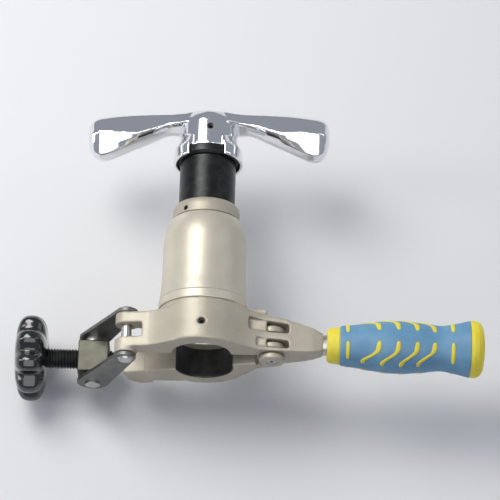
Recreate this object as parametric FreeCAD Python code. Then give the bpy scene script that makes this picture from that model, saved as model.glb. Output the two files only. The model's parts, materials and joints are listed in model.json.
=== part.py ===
import FreeCAD, Part
import math
import os

# Eccentric flaring tool for interchangeable split dies, in millimetres.
# +Y is the feed spindle's axis, from the die seat towards the T-handle.
# +X points to the hand grip, and +Z away from the surface that the tool lies on.
# The origin is on the die seat's axis, in the frame's open end face.

V = FreeCAD.Vector
ORIGIN = V(0, 0, 0)
X_AXIS = V(1, 0, 0)
Y_AXIS = V(0, 1, 0)
Z_AXIS = V(0, 0, 1)

# Die seat: a hub bore, and a groove that holds the die's flange
SEAT_R = 16.5
GROOVE_R = 20.3
GROOVE_Y = (14.0, 19.0)
LIP_R = 17.0

# Frame casting
FRAME_R = 25.3
FRAME_TOP = 25.2
SEAT_RING_Y = 19.0
PART_GAP = 0.3
WING_TOP = 21.5
PIN_R = 3.0
RUN_GAP = 0.05
CAST_ROUND = 1.2
SPIGOT_Y = 22.0
RIB_R = 8.5
RIB_TOP = 20.8
TAIL_END = 69.0
DIE_SCREW_Y = 10.5
SET_SCREW_R = 2.0
SOCKET_R = 1.15
SOCKET_DEPTH = 2.4

# Rear jaw and its hinge
HINGE_X = 40.0
KNUCKLE_R = 7.5
JAW_R = 25.3
JAW_Y = (-4.0, 18.7)
NOSE_Y = (-2.3, 18.7)
NOSE_Z = -22.0
JAW_OPEN = 15.0
WINDOW_END = 49.6
WINDOWS = (
    # start x, bottom and top y at the start, bottom and top y at the end
    (31.0, (2.4, 7.6), (1.8, 6.4)),
    (26.5, (11.9, 19.2), (10.9, 16.4)),
)
KNUCKLES = ((-4.0, -0.3), (2.7, 6.1), (12.2, 16.1))
KNUCKLE_WEB_FRONT = -4.0

# Clamp: two side plates on the lug pin, and a swivel block that carries the screw
LUG = V(-43.0, 0, 3.5)
LUG_R = 6.5
LUG_TOP_Z = LUG.z + LUG_R
LUG_SLOT = (6.0, 14.5)
LUG_BOTTOM = -2.4
PLATE_T = 2.5
PLATE_ROUND = 0.5
PLATE_LOW = -5.2
PLATE_HIGH = 21.8
SWIVEL = V(-63.5, 0, -37.0)
PLATE_R = (6.0, 9.0)
PLATE_GAP = 0.1
HEAD_R = 4.4
HEAD_T = 1.1
WASHER_R = 6.5
TRUNNION_DEPTH = 3.0
BLOCK = (18.0, 19.4, 15.0)
SCREW_Y = 9.55
SCREW_R = 6.0
SCREW_END = -53.0
STUB_R = 2.0
PAD_R = 4.6
PAD_END = -48.5
KNOB_X = (-109.0, -90.5)
KNOB_R = 25.5
KNOB_LOBES = 9
SCALLOP_R = 8.0
SCALLOP_CIRCLE_R = 31.2
KNOB_WEB = 5.0
KNOB_SCREW_R = 2.5
KNOB_SCREW_HEAD_R = 5.0
KNOB_SCREW_LENGTH = 15.0

# Barrel, collar and feed
BARREL_R = 24.2
BARREL_BORE = 19.2
SPIGOT_R = 21.2
NUT_R = 18.8
NUT_Y = (56.5, 77.5)
RING_R = 25.7
RING_TOP = 30.6
SHOULDER_Y = 66.5
SHOULDER_R = 20.5
BARREL_TOP = 81.0
COLLAR_Y = (82.2, 91.0)
COLLAR_R = 19.5
COLLAR_SCREW_R = 1.5
COLLAR_SCREW_Y = 84.6
COLLAR_SCREW_TURN = -37.0
WIPER_R = 18.0
WIPER_Y = (86.4, 88.6)
GUIDE_Y = (48.3, 53.7)
FEED_R = 16.4
FEED_Y = (54.0, 119.8)
JOURNAL_R = 13.0
NECK_R = 9.0
NECK_TOP = 142.0
DISC_Y = (120.0, 125.8)
DISC_R = 18.4
ECCENTRIC = 1.5
BUSH_R = 9.5
BUSH_Y = (46.0, 48.0, 83.1)
BEARING_R = 6.5
BEARING_Y = (46.5, 75.0)
BALL_R = 3.0
SHANK_R = 5.0
CLIP_GROOVE_R = 4.2
CLIP_GROOVE_Y = (75.4, 76.4)
CONE_R = 12.5
CONE_TOP = 42.0

# T-handle
HUB_R = 17.0
HUB_Y = (126.0, 151.9)
HUB_SCREW_Y = 137.4
HUB_SCREW_TURN = 3.0
SKIRT_R = 20.3
SKIRT_Y = (119.2, 126.6, 133.5)
SKIRT_GAP = 10.5
HANDLE_TURN = -2.5
ARM_SECTIONS = (
    # x, centre y, half height, half depth
    (8.0, 146.3, 5.5, 7.2),
    (20.0, 146.6, 5.6, 6.8),
    (34.0, 144.2, 8.0, 9.0),
    (50.0, 139.9, 11.4, 11.0),
    (62.0, 136.7, 13.3, 11.5),
    (68.0, 137.5, 10.5, 9.2),
    (71.5, 139.0, 5.0, 3.8),
)

# Hand grip, turned about its own axis parallel to X
GRIP_Y = 7.4
SHANK_COLLAR_R = 5.8
ROD_R = 4.0
ROD_X = (52.0, 150.0)
FERRULE_X = (71.3, 78.6)
FERRULE_R = 10.7
END_CAP_X = (152.5, 161.0)
END_CAP_R = 16.4
GRIP_PROFILE = ((78.6, 11.3), (90.0, 12.6), (103.0, 14.5), (113.0, 15.0),
                (126.0, 14.1), (136.0, 13.0), (144.0, 14.2), (152.3, 16.2))
INLAY_DEPTH = 1.2
STRIPES_ROUND = 4
STRIPE_X = (93.0, 103.5, 115.0, 125.5)
STRIPE_HALF = 1.3
STRIPE_REACH = 7.0
STRIPE_LEANS = (20.0, 46.0)
STRIPE_PHASE = 37.0
BAR_X = (83.5, 142.5)


def cyl_y(radius, y0, y1, x=0.0, z=0.0):
    return Part.makeCylinder(radius, y1 - y0, V(x, y0, z), Y_AXIS)


def cyl_x(radius, x0, x1, y=0.0, z=0.0):
    return Part.makeCylinder(radius, x1 - x0, V(x0, y, z), X_AXIS)


def cyl_z(radius, z0, z1, x=0.0, y=0.0):
    return Part.makeCylinder(radius, z1 - z0, V(x, y, z0), Z_AXIS)


def box(xs, ys, zs):
    size = (xs[1] - xs[0], ys[1] - ys[0], zs[1] - zs[0])
    return Part.makeBox(size[0], size[1], size[2], V(xs[0], ys[0], zs[0]))


def prism_y(points, y0, y1):
    """Extrude an outline of (x, z) points from y0 to y1."""
    corners = [V(x, y0, z) for x, z in points]
    wire = Part.makePolygon(corners + corners[:1])
    return Part.Face(wire).extrude(V(0, y1 - y0, 0))


def prism_z(points, z0, z1):
    """Extrude an outline of (x, y) points from z0 to z1."""
    corners = [V(x, y, z0) for x, y in points]
    wire = Part.makePolygon(corners + corners[:1])
    return Part.Face(wire).extrude(V(0, 0, z1 - z0))


def turned_y(profile, x=0.0, z=0.0):
    """Turn a closed (radius, y) profile about an axis parallel to Y."""
    corners = [V(x + r, y, z) for r, y in profile]
    wire = Part.makePolygon(corners + corners[:1])
    return Part.Face(wire).revolve(V(x, 0, z), Y_AXIS, 360)


def turned_x(profile, y=0.0, z=0.0):
    """Turn a closed (x, radius) profile about an axis parallel to X."""
    corners = [V(x, y + r, z) for x, r in profile]
    wire = Part.makePolygon(corners + corners[:1])
    return Part.Face(wire).revolve(V(0, y, z), X_AXIS, 360)


def swung(shape, centre, angle):
    """A copy turned about an axis parallel to Y through the centre."""
    copy = shape.copy()
    copy.rotate(centre, Y_AXIS, angle)
    return copy


def edges_at(shape, y, wanted):
    """The edges that lie flat at height y and whose middle the test accepts."""
    found = []
    for edge in shape.Edges:
        limits = edge.BoundBox
        if limits.YLength < 0.01 and abs(limits.YMin - y) < 0.01 and wanted(edge.CenterOfMass):
            found.append(edge)
    return found


# ---------------------------------------------------------------- frame body

def tail_block():
    """The tail narrows from the hinge to the grip's shank."""
    sections = []
    for x, ys, zs in ((47.0, (0.0, 19.6), (-12.0, 8.8)), (63.0, (0.7, 15.4), (-7.0, 7.0)),
                      (TAIL_END, (2.2, 12.6), (-5.2, 5.4))):
        corners = [V(x, ys[0], zs[0]), V(x, ys[1], zs[0]), V(x, ys[1], zs[1]), V(x, ys[0], zs[1])]
        sections.append(Part.makePolygon(corners + corners[:1]))
    return Part.makeLoft(sections, True, True)


def front_wall():
    """The half of the seat's wall in front of the parting plane, with wings to the lugs and the hinge."""
    wall = cyl_y(FRAME_R, 0.0, SEAT_RING_Y)
    wall = wall.common(box((-FRAME_R, FRAME_R), (0.0, SEAT_RING_Y), (PART_GAP, FRAME_R)))
    left = prism_y([(LUG.x, LUG_TOP_Z), (-30, 11.6), (-19.5, 15.4), (-8, 20), (0, 20), (0, PART_GAP),
                    (LUG.x, PART_GAP)], 0.0, WING_TOP)
    right = prism_y([(0, PART_GAP), (0, 20), (12, 19.5), (20, 14.6), (29, 10.2), (50, 8.6), (50, -RIB_R),
                     (HINGE_X, -RIB_R), (HINGE_X, PART_GAP)], 0.0, FRAME_TOP)
    return wall.fuse([left, right])


def frame_casting():
    """The seat's front wall and full ring, the clamp's lugs, the hinge's ribs and the tail."""
    ring = cyl_y(FRAME_R, SEAT_RING_Y, FRAME_TOP)
    lugs = cyl_y(LUG_R, LUG_BOTTOM, WING_TOP, LUG.x, LUG.z)
    hinge = cyl_y(RIB_R, 0.0, RIB_TOP, HINGE_X)
    body = front_wall().fuse([ring, lugs, hinge, tail_block()]).removeSplitter()
    above_wing = [(25.6, 23.4), (52.0, 18.7), (52.0, 30.0), (25.6, 30.0)]
    cuts = [
        prism_z(above_wing, -30.0, 30.0),
        cyl_y(SEAT_R, -1, GROOVE_Y[0]),
        cyl_y(GROOVE_R, GROOVE_Y[0], GROOVE_Y[1]),
        cyl_y(LIP_R, GROOVE_Y[1] - 0.1, 40),
        cyl_y(SPIGOT_R, SPIGOT_Y, 40),
        box((-60, -34), LUG_SLOT, (-20, 30)),
        cyl_y(PIN_R, -10, 40, LUG.x, LUG.z),
        cyl_y(PIN_R, -10, 40, HINGE_X),
        cyl_z(SET_SCREW_R, 10, 30, 0.0, DIE_SCREW_Y),
        cyl_x(ROD_R, ROD_X[0], 80, GRIP_Y),
    ]
    for x0, (low, high), (end_low, end_high) in WINDOWS:
        window = [(x0, low), (WINDOW_END, end_low), (WINDOW_END, end_high), (x0, high)]
        cuts.append(prism_z(window, -30.0, 30.0))
    body = body.cut(cuts)
    soft = edges_at(body, 0.0, lambda middle: middle.z > 12 and abs(middle.x) < 29)
    soft += edges_at(body, WING_TOP, lambda middle: middle.z > 9 and middle.x < -18)
    return body.makeFillet(CAST_ROUND, soft)


def barrel():
    """A tube with a spigot in the frame, a flared foot, a long round shoulder and a bore for the nut."""
    rise = BARREL_TOP - SHOULDER_Y
    inset = BARREL_R - SHOULDER_R
    radius = (rise ** 2 + inset ** 2) / (2 * inset)
    half_angle = math.asin(rise / radius) / 2
    start = V(BARREL_R, SHOULDER_Y, 0)
    middle = start + V(radius * (math.cos(half_angle) - 1), radius * math.sin(half_angle), 0)
    end = V(SHOULDER_R, BARREL_TOP, 0)
    foot = RING_TOP + 0.1
    below = [end, V(BARREL_BORE, BARREL_TOP, 0), V(BARREL_BORE, SPIGOT_Y, 0), V(SPIGOT_R, SPIGOT_Y, 0),
             V(SPIGOT_R, foot, 0), V(BARREL_R + 1.2, foot, 0), V(BARREL_R + 0.9, foot + 3.5, 0),
             V(BARREL_R + 0.4, foot + 8.0, 0), V(BARREL_R + 0.1, foot + 14.0, 0), V(BARREL_R, foot + 20.0, 0),
             start]
    edges = [Part.Arc(start, middle, end).toShape()]
    edges += [Part.makeLine(a, b) for a, b in zip(below, below[1:])]
    return Part.Face(Part.Wire(edges)).revolve(ORIGIN, Y_AXIS, 360)


def barrel_ring():
    return turned_y([(SPIGOT_R, FRAME_TOP), (RING_R - 0.3, FRAME_TOP), (RING_R, FRAME_TOP + 0.5),
                     (RING_R, RING_TOP - 0.5), (RING_R - 0.3, RING_TOP), (SPIGOT_R, RING_TOP)])


def feed_nut():
    low, high = NUT_Y
    return turned_y([(FEED_R + RUN_GAP, low), (NUT_R, low), (NUT_R, high), (FEED_R + RUN_GAP, high)])


def top_collar():
    """A cap whose spigot holds the nut, with a groove for the wiper and a crowned top."""
    y0, y1 = COLLAR_Y
    wiper0, wiper1 = WIPER_Y
    bore = FEED_R + 0.4
    profile = [(bore, NUT_Y[1] + 0.5), (NUT_R, NUT_Y[1] + 0.5), (NUT_R, y0), (COLLAR_R, y0),
               (COLLAR_R, y1 - 3.6), (COLLAR_R - 0.4, y1 - 1.7), (COLLAR_R - 1.2, y1 - 0.5),
               (COLLAR_R - 2.2, y1), (bore, y1), (bore, wiper1 + 0.1), (WIPER_R + 0.05, wiper1 + 0.1),
               (WIPER_R + 0.05, wiper0 - 0.1), (bore, wiper0 - 0.1)]
    hole = cyl_z(COLLAR_SCREW_R, FEED_R + 1.0, 25.0, 0.0, COLLAR_SCREW_Y)
    return turned_y(profile).cut(swung(hole, ORIGIN, COLLAR_SCREW_TURN))


def wiper_ring():
    low, high = WIPER_Y
    return turned_y([(FEED_R + RUN_GAP, low), (WIPER_R, low), (WIPER_R, high), (FEED_R + RUN_GAP, high)])


def collar_screw():
    top = COLLAR_R - 0.5
    screw = cyl_z(COLLAR_SCREW_R, FEED_R + 1.0, top, 0.0, COLLAR_SCREW_Y)
    socket = cyl_z(COLLAR_SCREW_R / 2, top - 0.9, top + 1.0, 0.0, COLLAR_SCREW_Y)
    return swung(screw.cut(socket), ORIGIN, COLLAR_SCREW_TURN)


def set_screw(y, z0, z1):
    """A headless screw with a hexagon socket in its +Z end."""
    corners = []
    for index in range(6):
        angle = math.radians(60 * index)
        corners.append(V(SOCKET_R * math.cos(angle), y + SOCKET_R * math.sin(angle), z1 - SOCKET_DEPTH))
    socket = Part.Face(Part.makePolygon(corners + corners[:1])).extrude(V(0, 0, SOCKET_DEPTH + 1.0))
    return cyl_z(SET_SCREW_R, z0, z1, 0.0, y).cut(socket)


def die_screw():
    return set_screw(DIE_SCREW_Y, SEAT_R + 0.7, FRAME_R - 1.9)


def hinge_pin():
    low = JAW_Y[0] + 0.6
    centre_hole = cyl_y(1.2, low - 0.6, low + 1.2, HINGE_X)
    return cyl_y(PIN_R, low, RIB_TOP - 0.4, HINGE_X).cut(centre_hole)


def lug_pin():
    """A pin with a flat conical head outside each side plate."""
    low = PLATE_LOW - PLATE_GAP
    high = PLATE_HIGH + PLATE_T + PLATE_GAP
    edge_r = HEAD_R - 0.8
    return turned_y([(0, low - HEAD_T), (edge_r, low - HEAD_T), (HEAD_R, low), (PIN_R, low), (PIN_R, high),
                     (HEAD_R, high), (edge_r, high + HEAD_T), (0, high + HEAD_T)], LUG.x, LUG.z)


def grip_rod():
    """The rod through the grip, with a collar between the tail and the ferrule."""
    rod = cyl_x(ROD_R, ROD_X[0], ROD_X[1], GRIP_Y)
    return rod.fuse(cyl_x(SHANK_COLLAR_R, TAIL_END, FERRULE_X[0], GRIP_Y)).removeSplitter()


def grip_solid(inset):
    """The grip's waisted body, drawn in from its surface by the inset."""
    points = [V(x, GRIP_Y + r - inset, 0) for x, r in GRIP_PROFILE]
    curve = Part.BSplineCurve()
    curve.interpolate(points)
    first, last = points[0], points[-1]
    back = [last, V(last.x, GRIP_Y, 0), V(first.x, GRIP_Y, 0), first]
    edges = [curve.toShape()] + [Part.makeLine(a, b) for a, b in zip(back, back[1:])]
    return Part.Face(Part.Wire(edges)).revolve(V(0, GRIP_Y, 0), X_AXIS, 360)


def inlay_strip(x, lean, ys, turn):
    """A straight cutter through the grip's skin, leaning towards +X and turned round the grip."""
    strip = box((-STRIPE_HALF, STRIPE_HALF), ys, (5.0, 20.0))
    strip.rotate(ORIGIN, Z_AXIS, -lean)
    strip.translate(V(x, GRIP_Y, 0))
    strip.rotate(V(0, GRIP_Y, 0), X_AXIS, turn)
    return strip


def inlay_cutters():
    """Rows of two-part bent stripes with an upright bar near each end; every second row is mirrored."""
    cutters = []
    steep, flat = (STRIPE_REACH / math.cos(math.radians(lean)) for lean in STRIPE_LEANS)
    short = STRIPE_REACH - 2.0
    for index in range(STRIPES_ROUND):
        turn = STRIPE_PHASE + 360.0 / STRIPES_ROUND * index
        mirrored = index % 2 == 1
        for x in STRIPE_X:
            if mirrored:
                cutters.append(inlay_strip(x, -STRIPE_LEANS[0], (-steep, 0.0), turn))
                cutters.append(inlay_strip(x, -STRIPE_LEANS[1], (0.0, flat), turn))
            else:
                cutters.append(inlay_strip(x, STRIPE_LEANS[0], (0.0, steep), turn))
                cutters.append(inlay_strip(x, STRIPE_LEANS[1], (-flat, 0.0), turn))
        for x in BAR_X:
            ends = (-short, STRIPE_REACH) if mirrored else (-STRIPE_REACH, short)
            cutters.append(inlay_strip(x, 0.0, ends, turn))
    return cutters


def grip_parts():
    """The grip's core and the inlays flush in its skin."""
    outer = grip_solid(0.0)
    skin = outer.cut(grip_solid(INLAY_DEPTH))
    cutters = inlay_cutters()
    inlays = skin.common(cutters[0].fuse(cutters[1:]))
    core = outer.cut(inlays).cut(cyl_x(ROD_R, 50.0, 160.0, GRIP_Y))
    return core, inlays


def grip_ferrule():
    x0, x1 = FERRULE_X
    profile = [(x0, ROD_R), (x0, FERRULE_R - 2.1), (x0 + 0.9, FERRULE_R - 1.0), (x0 + 2.2, FERRULE_R - 0.6),
               (x1 - 0.8, FERRULE_R), (x1, FERRULE_R - 0.2), (x1, ROD_R)]
    return turned_x(profile, GRIP_Y)


def grip_end_cap():
    x0, x1 = END_CAP_X
    profile = [(x0, 0.0), (x0, END_CAP_R - 0.3), (x0 + 2.2, END_CAP_R), (x0 + 4.4, END_CAP_R - 0.4),
               (x0 + 6.2, END_CAP_R - 1.6), (x0 + 7.5, END_CAP_R - 4.0), (x0 + 8.2, END_CAP_R - 7.9),
               (x1, 0.0)]
    return turned_x(profile, GRIP_Y)


# ------------------------------------------------------------- rear jaw body

def rear_jaw():
    """Modelled closed against the frame, then swung open about its hinge."""
    low, high = JAW_Y
    shell = cyl_y(JAW_R, low, high).common(box((-30, 30), (low, high), (-30, -PART_GAP)))
    left_arm = prism_y([(0, -PART_GAP), (-36, -PART_GAP), (-36, -15), (-20, -19), (0, -19)], low, high)
    nose = prism_y([(-34, -3.5), (-49, -3.5), (-50, -5), (-50, -16), (-44.6, NOSE_Z), (-37, NOSE_Z),
                    (-34, -15)], NOSE_Y[0], NOSE_Y[1])
    right_arm = prism_y([(0, -PART_GAP), (30.6, -PART_GAP), (30.6, -KNUCKLE_R), (20, -17), (0, -17)],
                        low, high)
    knuckles = []
    for y0, y1 in KNUCKLES:
        knuckles.append(cyl_y(KNUCKLE_R, y0, y1, HINGE_X))
        knuckles.append(box((26.0, HINGE_X), (y0, y1), (-KNUCKLE_R, KNUCKLE_WEB_FRONT)))
    body = shell.fuse([left_arm, nose, right_arm] + knuckles).removeSplitter()
    dimple = Part.makeCone(4.2, 1.2, 3.0, V(LUG.x, SCREW_Y, NOSE_Z - 0.01), Z_AXIS)
    body = body.cut([
        cyl_y(SEAT_R, low - 1, GROOVE_Y[0]),
        cyl_y(GROOVE_R, GROOVE_Y[0], high + 1),
        cyl_y(PIN_R + RUN_GAP, low - 1, 30, HINGE_X),
        dimple,
    ])
    soft = edges_at(body, low, lambda middle: middle.z < -5 and math.hypot(middle.x, middle.z) > 12)
    return swung(body.makeFillet(CAST_ROUND, soft), V(HINGE_X, 0, 0), -JAW_OPEN)


# ---------------------------------------------------------------- clamp bodies

def clamp_plate(y0):
    """A tapered plate round the lug pin and the swivel block's trunnion."""
    top_r, low_r = PLATE_R
    run = SWIVEL - LUG
    length = math.hypot(run.x, run.z)
    heading = math.atan2(run.z, run.x)
    spread = math.acos((top_r - low_r) / length)
    outline = []
    rounds = ((LUG, top_r, 1), (LUG, top_r, -1), (SWIVEL, low_r, -1), (SWIVEL, low_r, 1))
    for centre, radius, side in rounds:
        angle = heading + side * spread
        outline.append((centre.x + radius * math.cos(angle), centre.z + radius * math.sin(angle)))
    web = prism_y(outline, y0, y0 + PLATE_T)
    ends = [cyl_y(top_r, y0, y0 + PLATE_T, LUG.x, LUG.z),
            cyl_y(low_r, y0, y0 + PLATE_T, SWIVEL.x, SWIVEL.z)]
    plate = web.fuse(ends).removeSplitter()
    rim = edges_at(plate, y0, lambda middle: True) + edges_at(plate, y0 + PLATE_T, lambda middle: True)
    holes = [cyl_y(PIN_R + RUN_GAP, y0 - 1, y0 + 5, LUG.x, LUG.z),
             cyl_y(PIN_R + RUN_GAP, y0 - 1, y0 + 5, SWIVEL.x, SWIVEL.z)]
    return plate.makeFillet(PLATE_ROUND, rim).cut(holes)


def block_faces():
    """The y of the swivel block's lower and upper sides."""
    return SCREW_Y - BLOCK[1] / 2, SCREW_Y + BLOCK[1] / 2


def clamp_washers():
    """One washer on each trunnion pin, between the swivel block and a side plate."""
    low, high = block_faces()
    gaps = ((PLATE_LOW + PLATE_T + 0.1, low - 0.1), (high + 0.1, PLATE_HIGH - 0.1))
    washers = []
    for y0, y1 in gaps:
        hole = cyl_y(PIN_R + 0.1, y0 - 1, y1 + 1, SWIVEL.x, SWIVEL.z)
        washers.append(cyl_y(WASHER_R, y0, y1, SWIVEL.x, SWIVEL.z).cut(hole))
    return Part.makeCompound(washers)


def clamp_block():
    length, _, depth = BLOCK
    low, high = block_faces()
    body = box((SWIVEL.x - length / 2, SWIVEL.x + length / 2), (low, high),
               (SWIVEL.z - depth / 2, SWIVEL.z + depth / 2))
    body = body.makeFillet(1.0, body.Edges)
    return body.cut([cyl_x(SCREW_R + RUN_GAP, -80, -50, SCREW_Y, SWIVEL.z),
                     cyl_y(PIN_R, low - 1, low + TRUNNION_DEPTH, SWIVEL.x, SWIVEL.z),
                     cyl_y(PIN_R, high - TRUNNION_DEPTH, high + 1, SWIVEL.x, SWIVEL.z)])


def trunnion_pin(inner, outer, end):
    """A pin from inside the block to the end of its head, which starts at outer."""
    pin = cyl_y(PIN_R, min(inner, end), max(inner, end), SWIVEL.x, SWIVEL.z)
    head = cyl_y(HEAD_R, min(outer, end), max(outer, end), SWIVEL.x, SWIVEL.z)
    return pin.fuse(head).removeSplitter()


def trunnion_pins():
    low, high = block_faces()
    under = PLATE_LOW - PLATE_GAP
    over = PLATE_HIGH + PLATE_T + PLATE_GAP
    return Part.makeCompound([trunnion_pin(low + TRUNNION_DEPTH, under, under - HEAD_T),
                              trunnion_pin(high - TRUNNION_DEPTH, over, over + HEAD_T)])


def clamp_screw():
    """A threaded shaft with a stub that the swivel pad turns on."""
    x0 = KNOB_X[0] + KNOB_WEB
    shaft = cyl_x(SCREW_R, x0, SCREW_END, SCREW_Y, SWIVEL.z)
    stub = cyl_x(STUB_R, SCREW_END, SCREW_END + 2.4, SCREW_Y, SWIVEL.z)
    tapped_hole = cyl_x(KNOB_SCREW_R, x0 - 0.1, KNOB_X[0] + KNOB_SCREW_LENGTH, SCREW_Y, SWIVEL.z)
    return shaft.fuse(stub).removeSplitter().cut(tapped_hole)


def screw_pad():
    back = SCREW_END + 0.1
    pad = turned_x([(back, 0), (back, PAD_R), (PAD_END - 1.8, PAD_R), (PAD_END, 2.6), (PAD_END, 0)],
                   SCREW_Y, SWIVEL.z)
    return pad.cut(cyl_x(STUB_R + RUN_GAP, back - 1, SCREW_END + 2.5, SCREW_Y, SWIVEL.z))


def clamp_knob():
    """A lobed hand knob with a crowned rim and a short hub."""
    x0, x1 = KNOB_X
    rim = [(0.0, KNOB_R - 8.0), (1.2, KNOB_R - 4.5), (3.4, KNOB_R - 1.7), (6.4, KNOB_R - 0.3)]
    profile = [(x0, 0)] + [(x0 + inset, r) for inset, r in rim] + [((x0 + x1) / 2, KNOB_R)]
    profile += [(x1 - inset, r) for inset, r in reversed(rim)] + [(x1, 0)]
    body = turned_x(profile, SCREW_Y, SWIVEL.z)
    scallops = []
    for index in range(KNOB_LOBES):
        angle = math.radians(360.0 / KNOB_LOBES * (index + 0.5))
        scallops.append(cyl_x(SCALLOP_R, x0 - 1, x1 + 1, SCREW_Y + SCALLOP_CIRCLE_R * math.cos(angle),
                              SWIVEL.z + SCALLOP_CIRCLE_R * math.sin(angle)))
    body = body.cut(scallops)
    return body.cut([cyl_x(SCREW_R, x0 + KNOB_WEB, x1 + 1, SCREW_Y, SWIVEL.z),
                     cyl_x(KNOB_SCREW_R, x0 - 1, x0 + KNOB_WEB + 1, SCREW_Y, SWIVEL.z),
                     cyl_x(KNOB_SCREW_HEAD_R + 0.6, x0 - 1, x0 + 3.0, SCREW_Y, SWIVEL.z)])


def knob_screw():
    """A screw whose head lies in the knob's outer face, with a round socket."""
    x0 = KNOB_X[0]
    head_r = KNOB_SCREW_HEAD_R
    head = turned_x([(x0 + 0.4, 0), (x0 + 0.4, head_r - 1.4), (x0 + 1.4, head_r), (x0 + 3.0, head_r),
                     (x0 + 3.0, 0)], SCREW_Y, SWIVEL.z)
    shank = cyl_x(KNOB_SCREW_R, x0 + 3.0, x0 + KNOB_SCREW_LENGTH, SCREW_Y, SWIVEL.z)
    return head.fuse(shank).removeSplitter().cut(cyl_x(1.5, x0 - 1, x0 + 2.0, SCREW_Y, SWIVEL.z))


# ----------------------------------------------------------------- feed bodies

def guide_ring():
    low, high = GUIDE_Y
    inner, outer = JOURNAL_R + RUN_GAP, BARREL_BORE - RUN_GAP
    return turned_y([(inner, low), (outer, low), (outer, high), (inner, high)])


def feed_screw():
    """A hollow screw with a journal below, and a neck that the disc and the handle sit on."""
    y0, y1 = FEED_Y
    return turned_y([(BUSH_R, BUSH_Y[1]), (JOURNAL_R, BUSH_Y[1]), (JOURNAL_R, y0), (FEED_R - 0.8, y0),
                     (FEED_R, y0 + 0.8), (FEED_R, y1 - 0.6), (FEED_R - 0.6, y1), (NECK_R, y1),
                     (NECK_R, NECK_TOP), (0, NECK_TOP), (0, BUSH_Y[2] + 0.1), (BUSH_R, BUSH_Y[2] + 0.1)])


def stop_disc():
    y0, y1 = DISC_Y
    return turned_y([(NECK_R, y0), (DISC_R - 1.4, y0), (DISC_R, y0 + 1.4), (DISC_R, y1 - 0.5),
                     (DISC_R - 0.5, y1), (NECK_R, y1)])


def arm_section(x, centre_y, half_height, half_depth):
    major, minor = max(half_height, half_depth), min(half_height, half_depth)
    along = Y_AXIS if half_height >= half_depth else Z_AXIS
    ellipse = Part.Ellipse(V(0, 0, 0), major, minor)
    edge = ellipse.toShape()
    tilt = FreeCAD.Rotation(along, X_AXIS.cross(along), X_AXIS, "XYZ")
    edge.Placement = FreeCAD.Placement(V(x, centre_y, 0), tilt)
    return Part.Wire([edge])


def t_handle():
    """A domed hub with a skirt down each side of the disc, and two arms that swell towards their ends."""
    y0, y1 = HUB_Y
    hub = turned_y([(0, y0), (HUB_R, y0), (HUB_R, y1 - 8.0), (HUB_R - 0.8, y1 - 5.0), (HUB_R - 2.6, y1 - 2.6),
                    (HUB_R - 5.5, y1 - 0.9), (HUB_R - 9.0, y1), (0, y1)])
    arm = Part.makeLoft([arm_section(*section) for section in ARM_SECTIONS], True, False)
    other = arm.mirror(ORIGIN, X_AXIS)
    low, middle, high = SKIRT_Y
    inside = DISC_R + 0.3
    skirt = turned_y([(inside, low), (SKIRT_R - 0.4, low), (SKIRT_R, low + 0.8), (SKIRT_R, middle),
                      (HUB_R, high), (HUB_R - 2.0, high), (HUB_R - 2.0, y0), (inside, y0)])
    skirt = skirt.cut(box((-SKIRT_GAP, SKIRT_GAP), (low - 1, high + 1), (-30, 30)))
    handle = hub.fuse([arm, other, skirt]).removeSplitter()
    handle = swung(handle.cut(cyl_y(NECK_R, y0 - 10, NECK_TOP)), ORIGIN, HANDLE_TURN)
    return handle.cut(swung(cyl_z(SET_SCREW_R, 5.0, 30.0, 0.0, HUB_SCREW_Y), ORIGIN, HUB_SCREW_TURN))


def handle_screw():
    return swung(set_screw(HUB_SCREW_Y, NECK_R + 0.1, HUB_R - 1.6), ORIGIN, HUB_SCREW_TURN)


def eccentric_bush():
    """A bush with a flange under the feed screw, bored off its centre."""
    y0, y1, y2 = BUSH_Y
    body = turned_y([(0, y0), (JOURNAL_R, y0), (JOURNAL_R, y1), (BUSH_R, y1), (BUSH_R, y2), (0, y2)])
    return body.cut(cyl_y(BEARING_R, y0 - 1, y2 + 1, ECCENTRIC))


def cone_bearing():
    low, high = BEARING_Y
    return cyl_y(BEARING_R, low, high, ECCENTRIC).cut(cyl_y(SHANK_R + RUN_GAP, low - 1, high + 1, ECCENTRIC))


def thrust_ball():
    return Part.makeSphere(BALL_R, V(ECCENTRIC, BUSH_Y[2] - BALL_R + 0.05, 0))


def flare_cone():
    """A 90 degree cone with a blunt tip, and a shank that has a groove for its clip."""
    clip0, clip1 = CLIP_GROOVE_Y
    tip = CONE_TOP - CONE_R + 0.6
    back = CONE_TOP + 3.6
    end = BUSH_Y[2] - 2 * BALL_R
    return turned_y([(0, tip), (1.2, tip + 0.6), (CONE_R, CONE_TOP), (CONE_R, back - 0.6),
                     (CONE_R - 0.6, back), (SHANK_R, back), (SHANK_R, clip0), (CLIP_GROOVE_R, clip0),
                     (CLIP_GROOVE_R, clip1), (SHANK_R, clip1), (SHANK_R, end), (0, end)], ECCENTRIC)


def cone_clip():
    """A split ring in the shank's groove, above the bearing."""
    low, high = CLIP_GROOVE_Y[0] + 0.05, CLIP_GROOVE_Y[1] - 0.05
    ring = cyl_y(BEARING_R - 0.2, low, high, ECCENTRIC).cut(
        cyl_y(CLIP_GROOVE_R + 0.05, low - 1, high + 1, ECCENTRIC))
    return ring.cut(box((-8, ECCENTRIC - 1), (low - 1, high + 1), (-2.0, 2.0)))


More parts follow.
